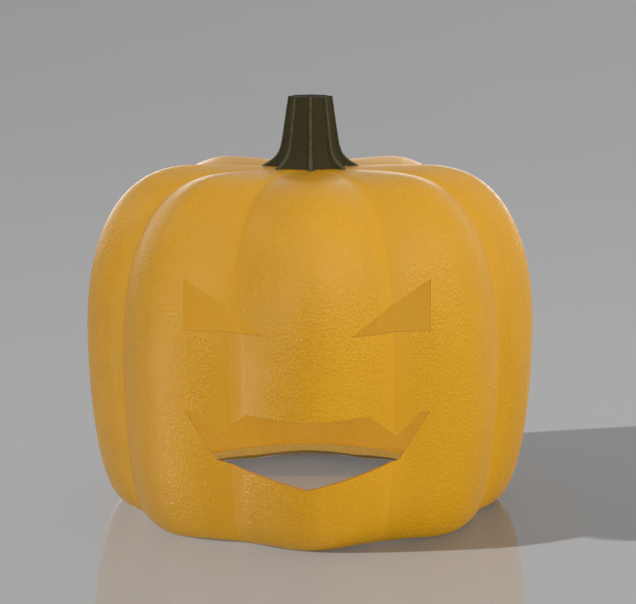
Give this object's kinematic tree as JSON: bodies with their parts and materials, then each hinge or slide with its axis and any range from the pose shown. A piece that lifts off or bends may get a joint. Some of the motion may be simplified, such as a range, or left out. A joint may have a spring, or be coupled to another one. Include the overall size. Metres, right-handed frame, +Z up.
{
  "type": "carved pumpkin lantern",
  "caption": "Hollow ribbed pumpkin with a slanted-eye, fanged-mouth face cut through its thin wall, a round opening in the bottom and a dry ribbed stem.",
  "frame": {"origin": "on the ground, at the fruit's own axis", "axes": "+Z up through the stem; the carved face looks along -Y"},
  "size_m": [0.3, 0.3, 0.2735],
  "materials": {
    "flesh": "pebbled satin pumpkin rind, golden orange, the same inside",
    "dry_stem": "dry fibrous stem, dark olive brown, matt"
  },
  "bodies": {
    "root": {"shell": "flesh", "stem": "dry_stem"}
  },
  "joints": []
}
